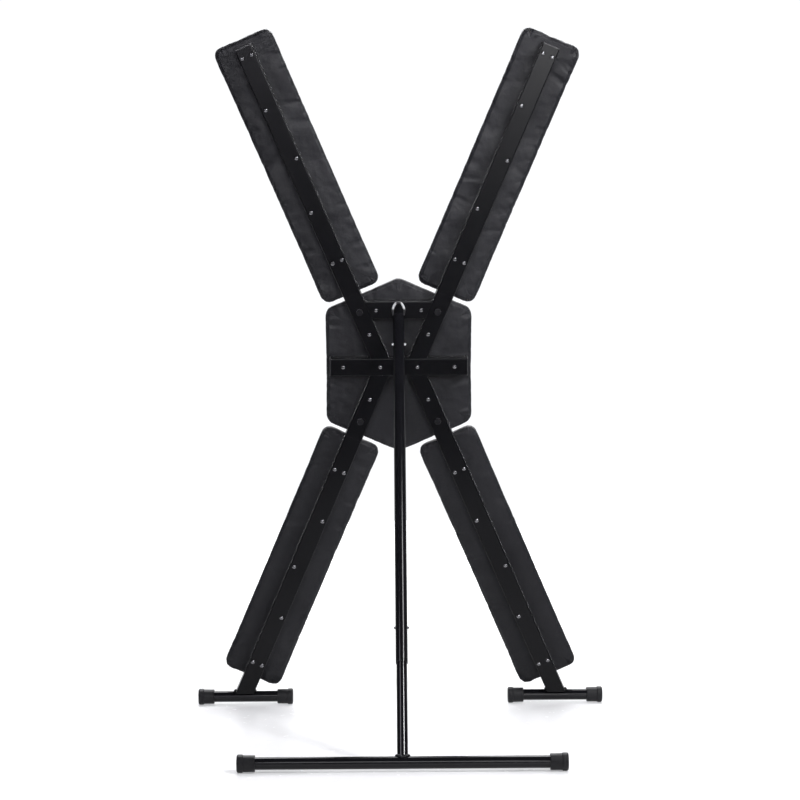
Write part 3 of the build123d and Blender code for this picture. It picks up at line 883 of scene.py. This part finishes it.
def build_hub_welds():
    """Beads where the stubs stand on the crossbar and where the bridge meets the stubs."""
    bar_low, bar_high = extent("crossbar", (RIGHT, UP, FRONT))
    bridge_low, bridge_high = extent("bridge_bar", (RIGHT, UP, FRONT))
    half_bar = (bar_high[1] - bar_low[1]) / 2
    middle = (bar_high + bar_low) / 2
    slope = math.tan(ARM_ANGLE)
    half_cut = half_bar / math.cos(ARM_ANGLE)
    root_x = bridge_high[0] + half_cut - slope * (bridge_high[1] - middle[1])
    run_depths = [middle[2] + share * half_bar for share in HUB_BEAD_RUN]

    def line(x, level):
        return [RIGHT * x + UP * level + FRONT * depth for depth in run_depths]

    paths = []
    for side in SIDES.values():
        for level in (1, -1):
            seat = root_x + slope * half_bar
            for edge in (-half_cut, half_cut):
                paths.append((line(side * (seat + edge), middle[1] + level * half_bar), False))
        for level in (bridge_low[1], bridge_high[1]):
            x = root_x + slope * (level - middle[1]) - half_cut
            paths.append((line(side * x, level), False))
    weld_beads("hub_weld_beads", "cross", paths, FRAME_PAINT)


FOOT_BEAD_STEPS = 4         # to each side of the tube's top
FOOT_BEAD_TURN = math.radians(10)


def build_foot_welds():
    """Beads where the side walls of each lower arm straddle its foot tube."""
    for name, side in SIDES.items():
        axes = arm_axes(side, -1)
        low, high = extent(f"arm_bar_lower_{name}", axes)
        tube_low, tube_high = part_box(f"foot_tube_{name}")
        tube = (tube_low + tube_high) / 2
        off_wall = OFF_WALL * BEAD_R
        radius = (tube_high.z - tube_low.z) / 2 + off_wall
        paths = []
        for wall in (low[1] - off_wall, high[1] + off_wall):
            path = []
            for step in range(-FOOT_BEAD_STEPS, FOOT_BEAD_STEPS + 1):
                turn = FOOT_BEAD_TURN * step
                y = tube.y + radius * math.sin(turn)
                z = tube.z + radius * math.cos(turn)
                x = (wall - y * axes[1].y - z * axes[1].z) / axes[1].x
                path.append(Vector((x, y, z)))
            paths.append((path, False))
        weld_beads(f"foot_weld_beads_{name}", "cross", paths, FRAME_PAINT)


# ---- Snap springs ----
LEAF_CUTS = 12              # the stretch of a leaf from its fold to its button is cut into this many strips


def flexing_leaf(spring, name, side):
    """One leaf of a V spring: the half on one side of the leg's axis, cut across into strips between its
    fold and its button.
    """
    axis_point, down = leg_line()
    button = extent(f"{spring.replace('spring', 'button')}_{name}", (down,))
    leaf_ends = extent(spring, (down,))
    seat = (button[0][0] + button[1][0]) / 2
    fold = max((leaf_ends[0][0], leaf_ends[1][0]), key=lambda end: abs(end - seat))
    on_axis = axis_point - down * axis_point.dot(down)
    start = on_axis + down * fold
    end = on_axis + down * (button[0][0] if fold < seat else button[1][0])
    bm = bmesh.new()
    bm.from_mesh(frame["nodes"][spring].data)

    def cut(point, normal, drop=False):
        """Cuts along a plane, and drops what lies behind it if asked."""
        shape = bm.verts[:] + bm.edges[:] + bm.faces[:]
        bmesh.ops.bisect_plane(bm, geom=shape, plane_co=point, plane_no=normal, clear_inner=drop)

    cut(on_axis, RIGHT * side, drop=True)
    bmesh.ops.holes_fill(bm, edges=[edge for edge in bm.edges if edge.is_boundary])
    for k in range(1, LEAF_CUTS):
        cut(start.lerp(end, k / LEAF_CUTS), down)
    leaf = add_mesh(f"{spring}_{name}_leaf", bm)
    leaf.data.materials.clear()
    leaf.data.materials.append(SPRING_STEEL)
    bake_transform(leaf)
    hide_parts(spring)


# ---- Stage, light and camera ----
WHITE_LAMP = (0.98, 0.98, 1.0)
COOL_LAMP = (0.92, 0.90, 1.0)
FLOOR_RADIUS = 3.6
FLOOR_Y = -2.2              # the floor reaches further in front of the cross than behind its leg
FLOOR_GLOW = (0.27, 0.95)   # near the object and at the rim
FLOOR_GLOW_START = 0.9
ROOM_GLOW = 0.05
BACKDROP_GLOW = 0.65
CAMERA_GLOW = 1.05


def build_floor():
    """Pale sweep that glows a little, as a lit studio floor does, so that it fades into the backdrop."""
    bm = bmesh.new()
    centre = Matrix.Translation((0, FLOOR_Y, 0))
    bmesh.ops.create_circle(bm, cap_ends=True, segments=96, radius=FLOOR_RADIUS, matrix=centre)
    floor = add_mesh("floor", bm)
    material, tree, surface, place = new_material("floor_white")
    far = add_node(tree, "VectorMath", operation="LENGTH")
    tree.links.new(place, far.inputs[0])
    clouds = noise(tree, place, scale=3, detail=3)
    smudges = noise(tree, place, scale=40, detail=3)
    set_inputs(
        tree,
        surface,
        Base_Color=blend_colours(tree, clouds, (0.78, 0.78, 0.785), (0.80, 0.80, 0.805)),
        Roughness=ramp(tree, smudges, 0.22, 0.30),
        Specular_IOR_Level=0.5,
        Emission_Color=(0.97, 0.98, 1.0, 1),
        Emission_Strength=ramp(
            tree, far.outputs["Value"], *FLOOR_GLOW, FLOOR_GLOW_START, FLOOR_RADIUS
        ),
    )
    floor.data.materials.append(material)


def area_light(name, place, aim, size, power, colour, spread=180):
    """A soft box at a place, aimed at a point; the camera doesn't see it."""
    data = bpy.data.lights.new(name, "AREA")
    data.shape = "RECTANGLE"
    data.size, data.size_y = size
    data.energy = power
    data.color = colour
    data.spread = math.radians(spread)
    light = bpy.data.objects.new(name, data)
    bpy.context.scene.collection.objects.link(light)
    light.location = place
    light.rotation_mode = "QUATERNION"
    light.rotation_quaternion = (Vector(aim) - Vector(place)).to_track_quat("-Z", "Y")
    light.visible_camera = False


def build_world():
    """White to the camera; to everything else a dim room with a white backdrop in front of the cross."""
    world = bpy.data.worlds.new("studio")
    bpy.context.scene.world = world
    world.use_nodes = True
    tree = world.node_tree
    background = tree.nodes["Background"]
    background.inputs["Color"].default_value = (0.97, 0.98, 1.0, 1)
    place = tree.nodes.new("ShaderNodeTexCoord")
    split = add_node(tree, "SeparateXYZ", Vector=place.outputs["Generated"])
    towards_front = ramp(tree, split.outputs["Y"], 1.0, 0.0, start=-0.75, end=-0.45)
    low_down = ramp(tree, split.outputs["Z"], 1.0, 0.0, start=0.30, end=0.55)
    room = ramp(tree, multiply(tree, towards_front, low_down), ROOM_GLOW, BACKDROP_GLOW)
    path = tree.nodes.new("ShaderNodeLightPath")
    shown = add_node(tree, "Math", operation="MAXIMUM")
    tree.links.new(room, shown.inputs[0])
    tree.links.new(ramp(tree, path.outputs["Is Camera Ray"], 0.0, CAMERA_GLOW), shown.inputs[1])
    tree.links.new(shown.outputs["Value"], background.inputs["Strength"])


def build_lights():
    """Small boxes beside the leg give its stripes; large low ones light the cross's back."""
    area_light("key", (-2.0, 1.9, 2.8), (0, 0.5, 0.5), (0.5, 0.5), 72, WHITE_LAMP)
    area_light("key_upper", (-1.6, 1.3, 2.8), (0, 0.3, 0.8), (0.7, 0.7), 32, WHITE_LAMP)
    area_light("fill", (2.0, 1.9, 2.8), (0, 0.5, 0.5), (0.8, 0.8), 18, COOL_LAMP)
    area_light("back_right", (-1.0, 5.0, 1.6), (-0.4, 0, 1.75), (1.2, 1.2), 6.0, WHITE_LAMP, 42)
    area_light("back_left", (1.0, 5.0, 1.9), (0.4, 0, 1.75), (1.2, 1.2), 3.4, COOL_LAMP, 45)
    area_light("back_middle", (0, 4.0, 2.4), (0, 0, 1.2), (1.2, 1.2), 3.9, WHITE_LAMP, 40)
    area_light("back_wide", (-0.4, 5.0, 1.9), (0, 0, 1.3), (1.6, 1.2), 1.9, WHITE_LAMP, 70)
    area_light("over_front", (0, -3.0, 4.0), (0, -0.6, 0), (4.0, 3.0), 305, WHITE_LAMP)


CAMERA_PLACE = (0.0317, 6.1652, 1.2082)
CAMERA_TURN = math.radians(-0.306)      # from straight along -Y
CAMERA_DIP = math.radians(2.719)
CAMERA_ROLL = math.radians(0.326)
CAMERA_LENS = 101.8                     # on the 36 mm sensor


def build_camera():
    """Starts level along -Y, then turns, dips and rolls to the photograph's view."""
    forward, right, up = Vector((0, -1, 0)), Vector((-1, 0, 0)), Vector((0, 0, 1))
    turn = Matrix.Rotation(CAMERA_TURN, 3, "Z")
    forward, right = turn @ forward, turn @ right
    dip = Matrix.Rotation(-CAMERA_DIP, 3, right)
    forward, up = dip @ forward, dip @ up
    roll = Matrix.Rotation(CAMERA_ROLL, 3, forward)
    right, up = roll @ right, roll @ up
    data = bpy.data.cameras.new("camera")
    data.lens = CAMERA_LENS
    data.clip_end = 60
    camera = bpy.data.objects.new("camera", data)
    bpy.context.scene.collection.objects.link(camera)
    turned = Matrix((right, up, -forward)).transposed().to_4x4()
    camera.matrix_world = Matrix.Translation(CAMERA_PLACE) @ turned
    bpy.context.scene.camera = camera


finish_cad_nodes()
build_pad("torso", "cross", (RIGHT, UP, FRONT), hexagon_corners, TORSO_CORNER, TORSO_SEED)
for number, (arm, (side, level)) in enumerate(ARMS.items()):
    axes = arm_axes(side, level)
    build_pad(arm, "cross", axes, rectangle_corners, ARM_PAD_CORNER, FIRST_ARM_SEED + number)
build_leg_welds()
build_hub_welds()
build_foot_welds()
for name, side in SIDES.items():
    flexing_leaf("upper_snap_spring", name, side)
    flexing_leaf("lower_snap_spring", name, side)
build_floor()
build_world()
build_lights()
build_camera()
bpy.context.scene.view_settings.view_transform = "Standard"
